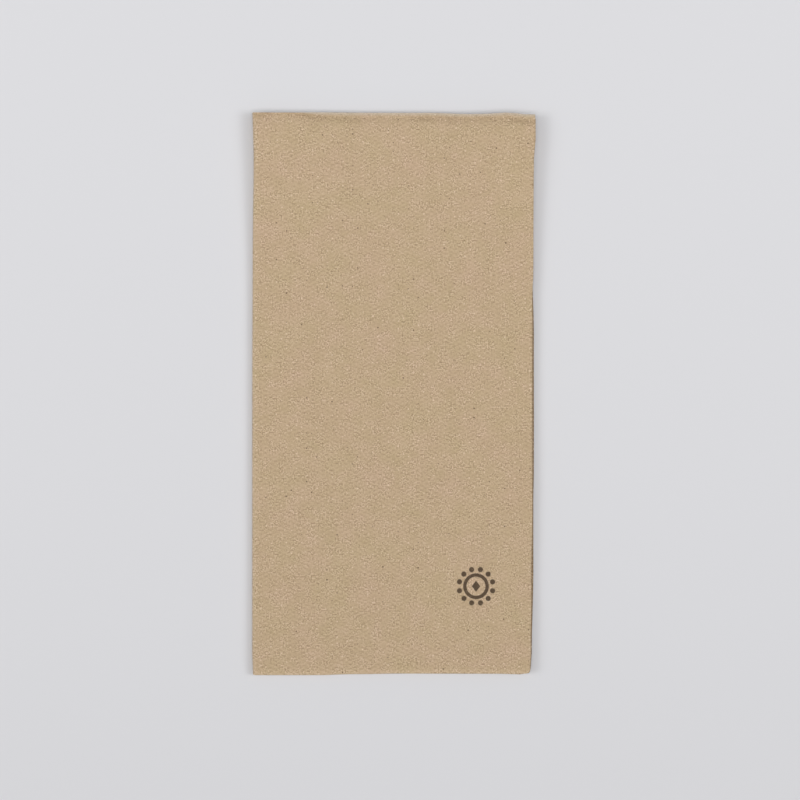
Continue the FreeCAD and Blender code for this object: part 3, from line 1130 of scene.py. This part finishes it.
def make_floor():
    """A square floor. Its share of backdrop rises smoothly with the distance from the centre."""
    floor_mesh = bpy.data.meshes.new("floor")
    reach = FLOOR_REACH
    corners = [(-reach, -reach, 0), (reach, -reach, 0), (reach, reach, 0), (-reach, reach, 0)]
    floor_mesh.from_pydata(corners, [], [(0, 1, 2, 3)])
    floor = bpy.data.objects.new("floor", floor_mesh)
    bpy.context.collection.objects.link(floor)
    material, nodes, shader = new_material("pale floor")
    shader.inputs["Base Color"].default_value = FLOOR_COLOUR
    shader.inputs["Roughness"].default_value = 0.9
    shader.inputs["Specular IOR Level"].default_value = 0.1
    backdrop = nodes.node("ShaderNodeEmission")
    backdrop.inputs["Color"].default_value = FLOOR_COLOUR
    from_centre = nodes.node("ShaderNodeVectorMath", operation="LENGTH")
    nodes.join(nodes.node("ShaderNodeTexCoord").outputs["Object"], from_centre.inputs[0])
    far = nodes.spread(from_centre.outputs["Value"], FADE_START, FADE_END)
    faded = nodes.mix_shaders(nodes.math("MULTIPLY", far, nodes.seen()), shader.outputs[0],
                              backdrop.outputs[0])
    nodes.join(faded, material.node_tree.nodes["Material Output"].inputs["Surface"])
    floor_mesh.materials.append(material)
    return floor


floor = make_floor()
print("floor", 2 * FLOOR_REACH, "m wide")

# %% Lights, with places and sides in metres and powers in watts
LIGHT_AIM = (-0.25, 1.5, 0.0)
SOFT_BOXES = [
    ("left soft box", (-1.0, 0.0, 1.1), 0.8, 9.7),
    ("right soft box", (1.0, 0.0, 1.1), 0.8, 10.1),
    ("overhead soft box", (0.0, -0.12, 2.0), 1.3, 15.7),
]


def soft_box(name, place, size, power):
    """A square area lamp, aimed past the napkin's cut edges."""
    lamp = bpy.data.lights.new(name, "AREA")
    lamp.size = size
    lamp.energy = power
    holder = bpy.data.objects.new(name, lamp)
    holder.location = place
    aim = Vector(LIGHT_AIM) - holder.location
    holder.rotation_euler = aim.to_track_quat("-Z", "Y").to_euler()
    bpy.context.collection.objects.link(holder)


for settings in SOFT_BOXES:
    soft_box(*settings)
print("lamps", [name for name, *_ in SOFT_BOXES])

# %% Light from all round
FILL_STRENGTH = 0.21


def make_studio():
    """Faint white light from all round, and a pale backdrop for camera and reflections."""
    world = bpy.data.worlds.new("studio")
    world.use_nodes = True
    nodes = Nodes(world.node_tree)
    fill = world.node_tree.nodes["Background"]
    fill.inputs["Color"].default_value = (1, 1, 1, 1)
    fill.inputs["Strength"].default_value = FILL_STRENGTH
    backdrop = nodes.node("ShaderNodeBackground")
    backdrop.inputs["Color"].default_value = FLOOR_COLOUR
    chosen = nodes.mix_shaders(nodes.seen(), fill.outputs[0], backdrop.outputs[0])
    nodes.join(chosen, world.node_tree.nodes["World Output"].inputs["Surface"])
    return world


bpy.context.scene.world = make_studio()
print("world", bpy.context.scene.world.name)

# %% Camera
PICTURE_PIXELS = 800
PIXELS_PER_MM = 2.804
NAPKIN_CENTRE_PX = (393.3, 393.35)
CAMERA_HEIGHT = 0.75
VIEW_WIDTH = PICTURE_PIXELS / PIXELS_PER_MM * MM
MIDDLE_PX = PICTURE_PIXELS / 2

camera_data = bpy.data.cameras.new("camera")
camera_data.sensor_width = 36
camera_data.lens = camera_data.sensor_width * (CAMERA_HEIGHT - cad_high.z) / VIEW_WIDTH
camera = bpy.data.objects.new("camera", camera_data)
camera.location = (
    (MIDDLE_PX - NAPKIN_CENTRE_PX[0]) / PIXELS_PER_MM * MM,
    (NAPKIN_CENTRE_PX[1] - MIDDLE_PX) / PIXELS_PER_MM * MM,
    CAMERA_HEIGHT,
)
bpy.context.collection.objects.link(camera)
bpy.context.scene.camera = camera
bpy.context.scene.view_settings.view_transform = "Standard"
print("lens", round(camera_data.lens, 1), "mm, view", round(VIEW_WIDTH, 4), "m wide")
